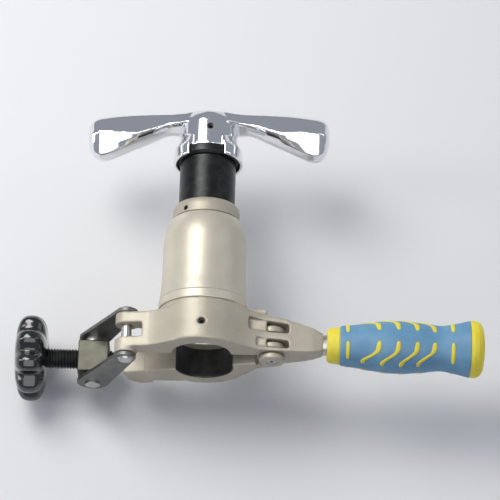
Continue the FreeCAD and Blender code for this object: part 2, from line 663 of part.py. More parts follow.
def all_parts():
    core, inlays = grip_parts()
    return {
        "frame_casting": frame_casting(), "barrel": barrel(), "barrel_ring": barrel_ring(),
        "feed_nut": feed_nut(), "top_collar": top_collar(), "wiper_ring": wiper_ring(),
        "collar_screw": collar_screw(), "die_screw": die_screw(), "hinge_pin": hinge_pin(),
        "lug_pin": lug_pin(), "grip_rod": grip_rod(), "grip_core": core, "grip_inlays": inlays,
        "grip_ferrule": grip_ferrule(), "grip_end_cap": grip_end_cap(), "rear_jaw": rear_jaw(),
        "clamp_plate_lower": clamp_plate(PLATE_LOW), "clamp_plate_upper": clamp_plate(PLATE_HIGH),
        "clamp_washers": clamp_washers(), "clamp_block": clamp_block(), "trunnion_pins": trunnion_pins(),
        "clamp_screw": clamp_screw(), "screw_pad": screw_pad(), "clamp_knob": clamp_knob(),
        "knob_screw": knob_screw(), "guide_ring": guide_ring(), "feed_screw": feed_screw(),
        "stop_disc": stop_disc(), "t_handle": t_handle(), "handle_screw": handle_screw(),
        "eccentric_bush": eccentric_bush(), "cone_bearing": cone_bearing(), "thrust_ball": thrust_ball(),
        "flare_cone": flare_cone(), "cone_clip": cone_clip(),
    }


os.makedirs("parts", exist_ok=True)
for name, shape in all_parts().items():
    shape.exportStep(os.path.join("parts", name + ".step"))
    print(name, len(shape.Solids), shape.isValid(), round(shape.Volume, 1))
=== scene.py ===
import bpy
import bmesh
import json
import math
from mathutils import Vector, Matrix


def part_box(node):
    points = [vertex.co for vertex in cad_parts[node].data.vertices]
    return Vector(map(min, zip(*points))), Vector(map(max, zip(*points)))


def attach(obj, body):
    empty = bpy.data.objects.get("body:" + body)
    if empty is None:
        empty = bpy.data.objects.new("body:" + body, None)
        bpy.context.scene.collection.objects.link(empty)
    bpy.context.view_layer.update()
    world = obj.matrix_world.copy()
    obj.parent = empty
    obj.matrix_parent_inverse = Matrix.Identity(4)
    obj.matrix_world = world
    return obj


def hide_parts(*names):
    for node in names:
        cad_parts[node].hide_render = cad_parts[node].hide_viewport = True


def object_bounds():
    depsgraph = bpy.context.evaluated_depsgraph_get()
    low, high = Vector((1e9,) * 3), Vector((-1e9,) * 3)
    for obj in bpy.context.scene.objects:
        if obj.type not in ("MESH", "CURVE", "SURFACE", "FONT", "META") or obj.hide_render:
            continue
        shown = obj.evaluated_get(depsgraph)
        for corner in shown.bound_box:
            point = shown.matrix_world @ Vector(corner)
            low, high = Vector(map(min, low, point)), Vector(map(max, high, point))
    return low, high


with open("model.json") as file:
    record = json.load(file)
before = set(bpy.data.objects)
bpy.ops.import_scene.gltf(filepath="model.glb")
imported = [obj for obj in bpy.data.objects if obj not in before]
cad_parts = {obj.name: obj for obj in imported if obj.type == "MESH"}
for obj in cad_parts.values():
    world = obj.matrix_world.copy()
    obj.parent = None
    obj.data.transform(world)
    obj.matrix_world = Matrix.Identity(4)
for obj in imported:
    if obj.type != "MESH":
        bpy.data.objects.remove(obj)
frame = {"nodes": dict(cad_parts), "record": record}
nodes = frame["nodes"]
cad_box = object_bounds()

# ------------------------------------------------------------------ places

HIGH = cad_box[1]
LOW = cad_box[0]
CENTRE = (HIGH + LOW) / 2


def corners(name):
    """The node's lowest and highest corner."""
    low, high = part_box(name)
    return Vector(low), Vector(high)


# --------------------------------------------------------------- materials

NOISE_ROUGHNESS = 0.55


class Surface:
    """A Principled material with a few helpers for its node tree. Sizes are in metres."""

    def __init__(self, name, colour, roughness, metallic=0.0, **sockets):
        self.material = bpy.data.materials.new(name)
        self.material.use_nodes = True
        self.tree = self.material.node_tree
        self.shader = self.tree.nodes["Principled BSDF"]
        self.shader.inputs["Base Color"].default_value = (*colour, 1.0)
        self.shader.inputs["Roughness"].default_value = roughness
        self.shader.inputs["Metallic"].default_value = metallic
        for socket, value in sockets.items():
            self.shader.inputs[socket.replace("_", " ")].default_value = value
        self.place = self.tree.nodes.new("ShaderNodeTexCoord").outputs["Object"]
        self.bump_normal = None

    def node(self, kind, **values):
        made = self.tree.nodes.new(kind)
        for key, value in values.items():
            setattr(made, key, value)
        return made

    def stretched(self, scale):
        """The object's coordinates, stretched along each axis."""
        mapping = self.node("ShaderNodeMapping")
        mapping.inputs["Scale"].default_value = scale
        self.tree.links.new(self.place, mapping.inputs["Vector"])
        return mapping.outputs["Vector"]

    def noise(self, size, detail=3.0, stretch=None):
        """Noise whose features are about this size."""
        made = self.node("ShaderNodeTexNoise")
        made.inputs["Scale"].default_value = 1.0 / size
        made.inputs["Detail"].default_value = detail
        made.inputs["Roughness"].default_value = NOISE_ROUGHNESS
        source = self.place if stretch is None else self.stretched(stretch)
        self.tree.links.new(source, made.inputs["Vector"])
        return made.outputs["Fac"]

    def speckle(self, size):
        """Cells of about this size, dark at their centres."""
        made = self.node("ShaderNodeTexVoronoi")
        made.inputs["Scale"].default_value = 1.0 / size
        self.tree.links.new(self.place, made.inputs["Vector"])
        return made.outputs["Distance"]

    def ramp(self, fac, stops):
        made = self.node("ShaderNodeValToRGB")
        elements = made.color_ramp.elements
        while len(elements) < len(stops):
            elements.new(0.5)
        for element, (position, value) in zip(elements, stops):
            element.position = position
            element.color = (*value, 1.0) if isinstance(value, tuple) else (value, value, value, 1.0)
        self.tree.links.new(fac, made.inputs["Fac"])
        return made.outputs["Color"]

    def blend(self, fac, first, second, mode="MIX"):
        """Mix two colours, each a tuple or a socket."""
        made = self.node("ShaderNodeMix", data_type="RGBA", blend_type=mode)
        for socket, value in ((made.inputs[0], fac), (made.inputs[6], first), (made.inputs[7], second)):
            if isinstance(value, (int, float)):
                socket.default_value = value
            elif isinstance(value, tuple):
                socket.default_value = (*value, 1.0)
            else:
                self.tree.links.new(value, socket)
        return made.outputs[2]

    def worn(self, radius):
        """1 beside sharp edges and 0 on open faces: how far rounding by this radius turns the surface."""
        rounded = self.node("ShaderNodeBevel", samples=4)
        rounded.inputs["Radius"].default_value = radius
        plain = self.node("ShaderNodeNewGeometry")
        likeness = self.node("ShaderNodeVectorMath", operation="DOT_PRODUCT")
        self.tree.links.new(rounded.outputs["Normal"], likeness.inputs[0])
        self.tree.links.new(plain.outputs["Normal"], likeness.inputs[1])
        return self.ramp(likeness.outputs["Value"], [(0.80, 1.0), (0.995, 0.0)])

    def soft_edges(self, radius):
        """Rounds the shading at sharp edges; comes before any bump."""
        rounded = self.node("ShaderNodeBevel", samples=6)
        rounded.inputs["Radius"].default_value = radius
        self.bump_normal = rounded.outputs["Normal"]
        self.tree.links.new(self.bump_normal, self.shader.inputs["Normal"])

    def near_axis(self, axis, outer, inner):
        """1 within the inner distance of a line along Y through this (x, z), and 0 beyond the outer one."""
        place = self.node("ShaderNodeVectorMath", operation="SUBTRACT")
        place.inputs[1].default_value = (axis[0], 0.0, axis[1])
        self.tree.links.new(self.place, place.inputs[0])
        flat = self.node("ShaderNodeVectorMath", operation="MULTIPLY")
        flat.inputs[1].default_value = (1.0, 0.0, 1.0)
        self.tree.links.new(place.outputs["Vector"], flat.inputs[0])
        length = self.node("ShaderNodeVectorMath", operation="LENGTH")
        self.tree.links.new(flat.outputs["Vector"], length.inputs[0])
        near = self.node("ShaderNodeMapRange")
        near.inputs["From Min"].default_value = outer
        near.inputs["From Max"].default_value = inner
        self.tree.links.new(length.outputs["Value"], near.inputs["Value"])
        return near.outputs["Result"]

    def colour(self, socket):
        self.tree.links.new(socket, self.shader.inputs["Base Color"])

    def roughness(self, fac, low, high):
        spread = self.node("ShaderNodeMapRange")
        spread.inputs["To Min"].default_value = low
        spread.inputs["To Max"].default_value = high
        self.tree.links.new(fac, spread.inputs["Value"])
        self.tree.links.new(spread.outputs["Result"], self.shader.inputs["Roughness"])

    def bump(self, height, distance, strength=1.0):
        """Add relief this deep; several calls stack."""
        made = self.node("ShaderNodeBump")
        made.inputs["Distance"].default_value = distance
        made.inputs["Strength"].default_value = strength
        self.tree.links.new(height, made.inputs["Height"])
        if self.bump_normal is not None:
            self.tree.links.new(self.bump_normal, made.inputs["Normal"])
        self.bump_normal = made.outputs["Normal"]
        self.tree.links.new(self.bump_normal, self.shader.inputs["Normal"])


# The bore's painted shade fades out between these distances from its axis
BORE_SHADE_EDGE = (0.0172, 0.0167)


def nickel_base(name, roughness):
    """The nickel that the turned and the cast pieces share."""
    s = Surface(name, (0.58, 0.53, 0.43), roughness, 0.35)
    s.soft_edges(0.0006)
    return s


def satin_nickel(name="satin_nickel", bore_axis=(0.0, 0.0)):
    """Nickel plate over a shot-blasted casting.

    The seat's bore, round this (x, z), gets a near-black painted shade in place of the plated colour.
    """
    s = nickel_base(name, 0.45)
    tone = s.ramp(s.noise(0.018, 4.0), [(0.3, (0.42, 0.382, 0.308)), (0.7, (0.495, 0.45, 0.365))])
    spots = s.ramp(s.noise(0.0022, 5.0), [(0.60, (1.0, 1.0, 1.0)), (0.78, (0.80, 0.79, 0.76))])
    plated = s.blend(1.0, tone, spots, "MULTIPLY")
    # painted shade: near-black colour inside the seat's bore, where the frame's front half shades it
    painted_bore_shade = s.ramp(s.noise(0.004, 4.0), [(0.3, (0.030, 0.029, 0.027)), (0.7, (0.060, 0.058, 0.054))])
    s.colour(s.blend(s.near_axis(bore_axis, *BORE_SHADE_EDGE), plated, painted_bore_shade))
    s.roughness(s.noise(0.004, 5.0), 0.38, 0.54)
    s.bump(s.noise(0.0011, 3.0), 0.00007)
    s.bump(s.noise(0.00035, 2.0), 0.00003)
    return s.material


def turned_nickel():
    """Nickel plate over turned steel, with fine rings round the spindle's axis."""
    s = nickel_base("turned_nickel", 0.38)
    tone = s.ramp(s.noise(0.02, 3.0), [(0.3, (0.55, 0.508, 0.415)), (0.7, (0.63, 0.58, 0.475))])
    s.colour(tone)
    s.roughness(s.noise(0.003, 4.0, stretch=(0.15, 1.0, 0.15)), 0.32, 0.46)
    s.bump(s.noise(0.0005, 3.0, stretch=(0.02, 1.0, 0.02)), 0.00003)
    return s.material


def steel():
    """Bright turned steel, for pins and the grip's rod."""
    s = Surface("pin_steel", (0.50, 0.50, 0.49), 0.3, 1.0)
    s.roughness(s.noise(0.002, 4.0), 0.22, 0.42)
    s.bump(s.noise(0.0006, 3.0), 0.00003)
    return s.material


def ground_steel():
    """Hard steel, ground round the spindle's axis."""
    s = Surface("ground_steel", (0.62, 0.62, 0.62), 0.18, 1.0)
    s.roughness(s.noise(0.0008, 3.0, stretch=(0.05, 1.0, 0.05)), 0.12, 0.28)
    return s.material


def bronze():
    """Machined bronze."""
    s = Surface("bronze", (0.62, 0.40, 0.17), 0.35, 1.0)
    s.roughness(s.noise(0.002, 3.0), 0.28, 0.45)
    return s.material


def black_steel():
    """Black oxide with a trace of oil."""
    s = Surface("black_steel", (0.018, 0.019, 0.02), 0.33, 0.6)
    oxide = s.ramp(s.noise(0.005, 5.0), [(0.45, (0.014, 0.015, 0.016)), (0.75, (0.035, 0.036, 0.036))])
    s.colour(s.blend(s.worn(0.0004), oxide, (0.12, 0.12, 0.115)))
    s.roughness(s.noise(0.004, 4.0, stretch=(0.3, 1.0, 0.3)), 0.24, 0.42)
    s.bump(s.noise(0.0006, 3.0, stretch=(0.03, 1.0, 0.03)), 0.00004)
    return s.material


def grey_steel(name, dark, light):
    """Dull grey pressed steel."""
    s = Surface(name, light, 0.42, 0.8)
    s.soft_edges(0.0003)
    tone = s.ramp(s.noise(0.006, 5.0), [(0.3, dark), (0.7, light)])
    s.colour(s.blend(s.worn(0.0005), tone, (0.42, 0.41, 0.38)))
    s.roughness(s.noise(0.003, 4.0), 0.34, 0.52)
    s.bump(s.noise(0.0008, 3.0), 0.00005)
    return s.material


def chrome():
    """Bright plate over a casting that is a little uneven."""
    s = Surface("chrome", (0.84, 0.85, 0.87), 0.09, 1.0)
    s.roughness(s.noise(0.006, 3.0), 0.06, 0.13)
    s.bump(s.noise(0.004, 2.0), 0.00003)
    return s.material


def knob_black():
    """Moulded phenolic with a polished skin."""
    s = Surface("knob_black", (0.006, 0.006, 0.007), 0.14, 0.0, Coat_Weight=0.9, Coat_Roughness=0.04)
    s.roughness(s.noise(0.003, 3.0), 0.12, 0.24)
    s.bump(s.noise(0.0015, 3.0), 0.00002)
    return s.material


def grip_plastic(name, dark, light):
    """Moulded soft plastic with a fine grain."""
    s = Surface(name, light, 0.5)
    tone = s.ramp(s.noise(0.012, 4.0), [(0.3, dark), (0.7, light)])
    s.colour(tone)
    s.roughness(s.noise(0.002, 3.0), 0.42, 0.58)
    s.bump(s.speckle(0.0007), 0.00006, 0.7)
    return s.material


def rubber():
    """Matt seal rubber."""
    s = Surface("seal_rubber", (0.02, 0.02, 0.02), 0.7)
    s.bump(s.noise(0.0008, 3.0), 0.00005)
    return s.material


def nylon():
    """Natural nylon, slightly translucent."""
    s = Surface("guide_nylon", (0.78, 0.76, 0.68), 0.45, 0.0, Subsurface_Weight=0.1, Subsurface_Scale=0.002)
    s.roughness(s.noise(0.002, 3.0), 0.38, 0.52)
    return s.material


# Where the open jaw's half of the bore has its axis, swung with the jaw about the hinge, as (x, z); the
# painted shade in that bore is centred here
JAW_BORE = (0.00136, -0.01035)
NICKEL = satin_nickel()
JAW_NICKEL = satin_nickel("jaw_nickel", JAW_BORE)
TURNED = turned_nickel()
CHROME = chrome()
STEEL = steel()
BLACK = black_steel()
GREY = grey_steel("grey_steel", (0.12, 0.12, 0.115), (0.20, 0.20, 0.19))
OLIVE = grey_steel("block_steel", (0.085, 0.085, 0.066), (0.135, 0.132, 0.108))
KNOB = knob_black()
BLUE = grip_plastic("grip_blue", (0.11, 0.27, 0.45), (0.15, 0.35, 0.53))
YELLOW = grip_plastic("grip_yellow", (0.80, 0.66, 0.03), (0.90, 0.76, 0.05))

SLOT_MATERIALS = {
    "satin_nickel": NICKEL, "pin_steel": STEEL, "bronze": bronze(), "seal_rubber": rubber(),
    "grip_blue": BLUE, "grip_yellow": YELLOW, "grey_steel": GREY, "black_steel": BLACK,
    "knob_black": KNOB, "guide_nylon": nylon(), "chrome": CHROME, "ground_steel": ground_steel(),
}

for part in frame["record"]["subparts"]:
    held = nodes[part["node"]]
    finish = SLOT_MATERIALS[part["material_slot"]]
    for index in range(len(held.material_slots)):
        held.material_slots[index].material = finish
# Nodes that are finished unlike the rest of their slot
FINISHES = {"barrel": TURNED, "barrel_ring": TURNED, "clamp_block": OLIVE}
for special, finish in FINISHES.items():
    for index in range(len(nodes[special].material_slots)):
        nodes[special].material_slots[index].material = finish

# ------------------------------------------------------------------ pieces

def add_piece(name, mesh, body, slot, material, *stands_for):
    """A finished piece that rides on a body and stands for its CAD nodes."""
    piece = bpy.data.objects.new(name, mesh)
    bpy.context.scene.collection.objects.link(piece)
    piece.data.materials.clear()
    piece.data.materials.append(material)
    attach(piece, body)
    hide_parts(*stands_for)
    return piece


def mesh_from(name, points, faces):
    """A smooth-shaded mesh."""
    mesh = bpy.data.meshes.new(name)
    mesh.from_pydata([tuple(point) for point in points], [], faces)
    mesh.shade_smooth()
    return mesh


def ring_faces(rows, columns, closed=False, capped=False):
    """Quads between rows of points that each go once round.

    The last row may join the first, or both ends may be capped.
    """
    faces = []
    for row in range(rows if closed else rows - 1):
        after = (row + 1) % rows
        for column in range(columns):
            beside = (column + 1) % columns
            faces.append((row * columns + column, row * columns + beside,
                          after * columns + beside, after * columns + column))
    if capped:
        faces.append(tuple(reversed(range(columns))))
        faces.append(tuple(range((rows - 1) * columns, rows * columns)))
    return faces


def facing_out(mesh):
    """Turns every face's normal outwards."""
    shape = bmesh.new()
    shape.from_mesh(mesh)
    bmesh.ops.recalc_face_normals(shape, faces=shape.faces)
    shape.to_mesh(mesh)
    shape.free()
    return mesh


def modified(mesh, *settings):
    """A new mesh: this one after a list of (modifier type, values)."""
    holder = bpy.data.objects.new("holder", mesh)
    bpy.context.scene.collection.objects.link(holder)
    for kind, values in settings:
        modifier = holder.modifiers.new(kind, kind)
        for key, value in values.items():
            setattr(modifier, key, value)
    graph = bpy.context.evaluated_depsgraph_get()
    made = bpy.data.meshes.new_from_object(holder.evaluated_get(graph))
    bpy.data.objects.remove(holder)
    return made


def smoothstep(low, high, value):
    """0 below low, 1 above high, and an S-curve between."""
    t = min(max((value - low) / (high - low), 0.0), 1.0)
    return t * t * (3.0 - 2.0 * t)


def curve_at(stops, x):
    """A smooth curve through (x, value, ...) stops, read at x, with slopes from the neighbouring stops."""
    index = 0
    while index < len(stops) - 2 and x > stops[index + 1][0]:
        index += 1
    first, last = stops[index], stops[index + 1]
    before, after = stops[max(index - 1, 0)], stops[min(index + 2, len(stops) - 1)]
    span = last[0] - first[0]
    t = min(max((x - first[0]) / span, 0.0), 1.0)
    values = []
    for column in range(1, len(first)):
        start_slope = (last[column] - before[column]) / (last[0] - before[0]) * span
        end_slope = (after[column] - first[column]) / (after[0] - first[0]) * span
        values.append((2 * t ** 3 - 3 * t ** 2 + 1) * first[column] + (t ** 3 - 2 * t ** 2 + t) * start_slope
                      + (3 * t ** 2 - 2 * t ** 3) * last[column] + (t ** 3 - t ** 2) * end_slope)
    return values


# Clamp knob

KNOB_LOBES = 9
KNOB_STEPS = 288
LOBE_BITE = 0.0042
HOLLOW_SHARPNESS = 1.6
KNOB_WEB = 0.005


def knob():
    """Nine lobes round a crowned rim, turned about X, with a hole for the screw."""
    low, high = corners("clamp_knob")
    screw_low, screw_high = corners("clamp_screw")
    centre = (low + high) / 2
    rim_r = (high.z - low.z) / 2
    bore_r = (screw_high.z - screw_low.z) / 2
    width = high.x - low.x
    rim = [  # distance from the nearer face, radius, how deep the lobes are
        (0.0, rim_r * 0.40, 0.0), (0.0003, rim_r * 0.52, 0.1), (0.0008, rim_r * 0.66, 0.45),
        (0.0017, rim_r * 0.79, 0.75), (0.0029, rim_r * 0.885, 0.95), (0.0044, rim_r * 0.95, 1.0),
        (0.0064, rim_r * 0.988, 1.0),
    ]
    outline = [  # the end screw's hole through the web, and the recess for its head
        (KNOB_WEB, bore_r * 0.42, 0.0), (0.0032, bore_r * 0.5, 0.0), (0.0031, bore_r * 0.93, 0.0),
        (0.0007, bore_r * 0.94, 0.0), (0.0, bore_r * 1.05, 0.0),
    ]
    outline += rim + [(width / 2, rim_r, 1.0)]
    outline += [(width - inset, radius, depth) for inset, radius, depth in reversed(rim)]
    outline += [  # the bore for the clamp screw, from its countersunk mouth to the web
        (width, bore_r + 0.0009, 0.0), (width - 0.0008, bore_r + 0.0001, 0.0),
        (KNOB_WEB + 0.0001, bore_r + 0.0001, 0.0), (KNOB_WEB, bore_r * 0.9, 0.0),
    ]
    points = []
    for inset, radius, depth in outline:
        for step in range(KNOB_STEPS):
            angle = 2.0 * math.pi * step / KNOB_STEPS
            hollow = (0.5 - 0.5 * math.cos(KNOB_LOBES * angle)) ** HOLLOW_SHARPNESS
            r = radius - LOBE_BITE * hollow * depth
            points.append((low.x + inset, centre.y + r * math.cos(angle), centre.z + r * math.sin(angle)))
    mesh = mesh_from("knob_body", points, ring_faces(len(outline), KNOB_STEPS, closed=True))
    return add_piece("knob_body", facing_out(mesh), "screw", "knob_black", KNOB, "clamp_knob")


# Clamp screw

THREAD_PITCH = 0.00175
THREAD_DEPTH = 0.00095
ROWS_PER_PITCH = 10
THREAD_STEPS = 48
CREST_SHARE = 0.12
FLANK_SHARE = 0.72
RUN_OUT = 0.002
RUN_OUT_DEPTH = 0.7
STUB_R = 0.002
STUB_LENGTH = 0.0024
STUB_ROUND = 0.0003


def threaded_screw():
    """A shaft along X with a right-hand thread that runs out near both ends, and the pad's stub."""
    low, high = corners("clamp_screw")
    centre = (low + high) / 2
    crest = (high.z - low.z) / 2
    shaft_end = high.x - STUB_LENGTH
    rows = int((shaft_end - low.x) / THREAD_PITCH * ROWS_PER_PITCH)
    profile = [(low.x + (shaft_end - low.x) * row / (rows - 1), None) for row in range(rows)]
    profile += [(shaft_end, STUB_R), (high.x - STUB_ROUND, STUB_R), (high.x, STUB_R - STUB_ROUND)]
    points = []
    for x, radius in profile:
        whole = min(smoothstep(0.0, RUN_OUT, x - low.x), smoothstep(0.0, RUN_OUT, shaft_end - x))
        for step in range(THREAD_STEPS):
            turn = step / THREAD_STEPS
            r = radius
            if radius is None:
                tooth = abs(2.0 * ((x / THREAD_PITCH - turn) % 1.0) - 1.0)
                cut = min(max((tooth - CREST_SHARE) / FLANK_SHARE, 0.0), 1.0)
                r = crest - THREAD_DEPTH * (cut * whole + RUN_OUT_DEPTH * (1.0 - whole))
            angle = 2.0 * math.pi * turn
            points.append((x, centre.y + r * math.cos(angle), centre.z + r * math.sin(angle)))
    mesh = mesh_from("threaded_screw", points, ring_faces(len(profile), THREAD_STEPS, capped=True))
    return add_piece("threaded_screw", facing_out(mesh), "screw", "black_steel", BLACK, "clamp_screw")


# T-handle

HANDLE_TURN = math.radians(-2.5)
HUB_HOLE_TURN = math.radians(3.0)
SET_SCREW_R = 0.002
SET_SCREW_STEPS = 32
SET_SCREW_REACH = (0.005, 0.030)
NECK_R = 0.009
NECK_STEPS = 72
NECK_LEAD = 0.002
HANDLE_SHARP = math.radians(42)
HANDLE_VOXEL = 0.0006
SOFTEN = ("SMOOTH", {"factor": 0.5, "iterations": 5})
HUB_INSET = 0.0014
HUB_DROP = 0.0012
HUB_LIFT = 0.0002
HUB_STEPS = 96
AXIS_R = 0.0002
DOME = (
    # in from the hub's side, down from its top
    (0.0, 0.0085), (0.0007, 0.0055), (0.0022, 0.0030), (0.0048, 0.0012), (0.0085, 0.0003),
)
SKIRT_GAP = 0.0105
SKIRT_CLEARANCE = 0.0003
SKIRT_T = 0.0016
SKIRT_WIDE = 0.0008
SKIRT_HIGH = 0.0077
SKIRT_STEPS = 40
SKIRT_ROUND = (0.0004, 0.0008)
SKIRT_OVERLAP = 0.003
SKIRT_ROOF = 0.0006
RIDGE_DROP = 0.0163
ARM_ROWS = 60
ARM_COLUMNS = 12
ARM_STOPS = [
    # x, top and bottom below the handle's highest line, half depth
    (0.000, 0.0010, 0.0118, 0.0160),
    (0.010, 0.0009, 0.0118, 0.0138),
    (0.017, 0.0008, 0.0117, 0.0100),
    (0.024, 0.0006, 0.0120, 0.0080),
    (0.034, 0.0007, 0.0166, 0.0090),
    (0.050, 0.0016, 0.0244, 0.0110),
    (0.061, 0.0028, 0.0294, 0.0116),
    (0.067, 0.0041, 0.0281, 0.0101),
    (0.0702, 0.0068, 0.0231, 0.0067),
    (0.0714, 0.0100, 0.0186, 0.0030),
]


def arm_ring(x, top, bottom, depth, ridge):
    """One section of the arms: rounded above and below, with a soft ridge where front facets meet."""
    height = top - bottom
    ridge = min(max(ridge, bottom + 0.22 * height), top - 0.3 * height)
    half = [
        (top, 0.0), (top - 0.03 * height, 0.42 * depth), (top - 0.14 * height, 0.76 * depth),
        (ridge, depth), (ridge + 0.5 * (bottom - ridge), 0.74 * depth),
        (bottom + 0.05 * height, 0.44 * depth), (bottom, 0.0),
    ]
    section = half + [(y, -z) for y, z in reversed(half[1:-1])]
    return [(x, y, z) for y, z in section]


def lathe_points(profile, steps):
    """Rows of points for a (radius, y) profile turned about Y."""
    points = []
    for radius, y in profile:
        for step in range(steps):
            angle = 2.0 * math.pi * step / steps
            points.append((radius * math.sin(angle), y, radius * math.cos(angle)))
    return points


def joined(parts):
    """One mesh from several lists of (points, faces)."""
    points, faces = [], []
    for part_points, part_faces in parts:
        start = len(points)
        points += part_points
        faces += [tuple(index + start for index in face) for face in part_faces]
    return facing_out(mesh_from("joined", points, faces))


def skirt_half(side, inner_r, outer_r, low_y, wide_y, high_y, hub_r):
    """The skirt down one side of the disc, left open at the front and the back."""
    inside_hub = hub_r - SKIRT_OVERLAP
    ceiling = wide_y - SKIRT_ROOF
    round_in, round_up = SKIRT_ROUND
    section = [(inner_r, low_y), (outer_r - round_in, low_y), (outer_r, low_y + round_up), (outer_r, wide_y),
               (hub_r, high_y), (inside_hub, high_y), (inside_hub, ceiling), (inner_r, ceiling)]
    open_angle = math.asin(SKIRT_GAP / outer_r)
    points = []
    for step in range(SKIRT_STEPS + 1):
        angle = open_angle + (math.pi - 2.0 * open_angle) * step / SKIRT_STEPS
        for radius, y in section:
            points.append((side * radius * math.sin(angle), y, radius * math.cos(angle)))
    return points, ring_faces(SKIRT_STEPS + 1, len(section), capped=True)


def cutter(name, points, faces):
    """An object for a boolean to cut with."""
    made = bpy.data.objects.new(name, facing_out(mesh_from(name, points, faces)))
    bpy.context.scene.collection.objects.link(made)
    return made


def arms(top):
    """Both arms as one run of sections, closer together towards the ends."""
    reach = ARM_STOPS[-1][0]
    points = []
    for row in range(-ARM_ROWS, ARM_ROWS + 1):
        x = reach * math.sin(0.5 * math.pi * row / ARM_ROWS)
        from_top, from_bottom, depth = curve_at(ARM_STOPS, abs(x))
        points += arm_ring(x, top - from_top, top - from_bottom, depth, top - RIDGE_DROP)
    return points, ring_faces(2 * ARM_ROWS + 1, ARM_COLUMNS, capped=True)


def hub(radius, floor_y, top_y):
    """The domed hub, almost closed at the axis."""
    profile = [(AXIS_R, floor_y), (radius, floor_y)]
    profile += [(radius - inset, top_y - drop) for inset, drop in DOME]
    profile.append((AXIS_R, top_y))
    return lathe_points(profile, HUB_STEPS), ring_faces(len(profile), HUB_STEPS, capped=True)


def set_screw_bore(y):
    """A cutter for the set screw's hole in the hub's front."""
    points = []
    for z in SET_SCREW_REACH:
        for step in range(SET_SCREW_STEPS):
            angle = 2.0 * math.pi * step / SET_SCREW_STEPS
            points.append((SET_SCREW_R * math.cos(angle), y + SET_SCREW_R * math.sin(angle), z))
    bore = cutter("screw_bore", points, ring_faces(2, SET_SCREW_STEPS, capped=True))
    bore.data.transform(Matrix.Rotation(HUB_HOLE_TURN, 4, "Y"))
    return bore


def handle():
    """The hub, the skirt and both arms run together as in one casting, and then the bores are cut."""
    low, high = corners("t_handle")
    disc_low, disc_high = corners("stop_disc")
    screw_low, screw_high = corners("feed_screw")
    set_low, set_high = corners("handle_screw")
    disc_r = (disc_high.x - disc_low.x) / 2
    hub_r = disc_r - HUB_INSET
    inner_r = disc_r + SKIRT_CLEARANCE
    top = high.y
    skirts = [skirt_half(side, inner_r, inner_r + SKIRT_T, low.y, disc_high.y + SKIRT_WIDE,
                         disc_high.y + SKIRT_HIGH, hub_r) for side in (-1, 1)]
    rough = joined([arms(top), hub(hub_r, disc_high.y + HUB_LIFT, top - HUB_DROP)] + skirts)
    cast = modified(rough, ("REMESH", {"mode": "VOXEL", "voxel_size": HANDLE_VOXEL}), SOFTEN)
    cast.transform(Matrix.Rotation(HANDLE_TURN, 4, "Y"))
    neck_line = [(NECK_R, low.y - NECK_LEAD), (NECK_R, screw_high.y)]
    neck = cutter("neck_bore", lathe_points(neck_line, NECK_STEPS), ring_faces(2, NECK_STEPS, capped=True))
    bores = (neck, set_screw_bore((set_low.y + set_high.y) / 2))
    mesh = modified(cast, *[("BOOLEAN", {"operation": "DIFFERENCE", "object": bore, "solver": "EXACT"})
                            for bore in bores])
    for bore in bores:
        bpy.data.objects.remove(bore)
    mesh.shade_smooth()
    mesh.set_sharp_from_angle(angle=HANDLE_SHARP)
    return add_piece("cast_handle", mesh, "spindle", "chrome", CHROME, "t_handle")


# Hand grip

GRIP_STEPS = 144
GRIP_ROWS = 90
GRIP_END_ROLL = (0.0012, 0.0006)
GRIP_SHARP = math.radians(50)
ROD_R = 0.004
GRIP_STOPS = [
    # how far along, radius as a share of the widest
    (0.000, 0.698), (0.148, 0.778), (0.326, 0.895), (0.462, 0.926), (0.640, 0.870), (0.777, 0.802),
    (0.886, 0.877), (1.000, 1.000),
]
STRIPES_ROUND = 4
STRIPE_PHASE = math.radians(38.5)
STRIPE_PLACES = (0.235, 0.384, 0.529, 0.663)
BAR_PLACES = (0.059, 0.866)
STRIPE_HALF_ANGLE = math.radians(32.0)
STRIPE_SLANT = 0.0038
STRIPE_HALF = 0.0017
BAR_HALF_ANGLE = math.radians(27.5)
BAR_SHIFT = math.radians(4.5)
BAR_HALF = 0.0013
STRIPE_BEND = (-0.75, 0.35)
STRIPE_LEAN = 0.25
STRIPE_END_POWER = 5
STRIPE_CROWN_POWER = 4
STRIPE_END_RISE = 1.5
STRIPE_ROWS = 28
STRIPE_COLUMNS = 9
STRIPE_RISE = 0.00035
STRIPE_SUNK = 0.0010


def grip_radius(x, low, high):
    """The grip's radius at x, from its box's two corners."""
    share, = curve_at(GRIP_STOPS, (x - low.x) / (high.x - low.x))
    return share * (high.z - low.z) / 2


def grip_core():
    """The waisted blue grip, hollow for its rod, with a softly rolled end beside the ferrule."""
    low, high = corners("grip_core")
    centre = (low + high) / 2
    roll_length, roll_depth = GRIP_END_ROLL
    profile = [(low.x, ROD_R)]
    for row in range(GRIP_ROWS + 1):
        x = low.x + (high.x - low.x) * row / GRIP_ROWS
        roll = roll_depth * (1.0 - smoothstep(0.0, roll_length, x - low.x))
        profile.append((x, grip_radius(x, low, high) - roll))
    profile.append((high.x, ROD_R))
    points = []
    for x, radius in profile:
        for step in range(GRIP_STEPS):
            angle = 2.0 * math.pi * step / GRIP_STEPS
            points.append((x, centre.y + radius * math.cos(angle), centre.z + radius * math.sin(angle)))
    mesh = facing_out(mesh_from("grip_skin", points, ring_faces(len(profile), GRIP_STEPS, closed=True)))
    mesh.set_sharp_from_angle(angle=GRIP_SHARP)
    return add_piece("grip_skin", mesh, "frame", "grip_blue", BLUE, "grip_core")


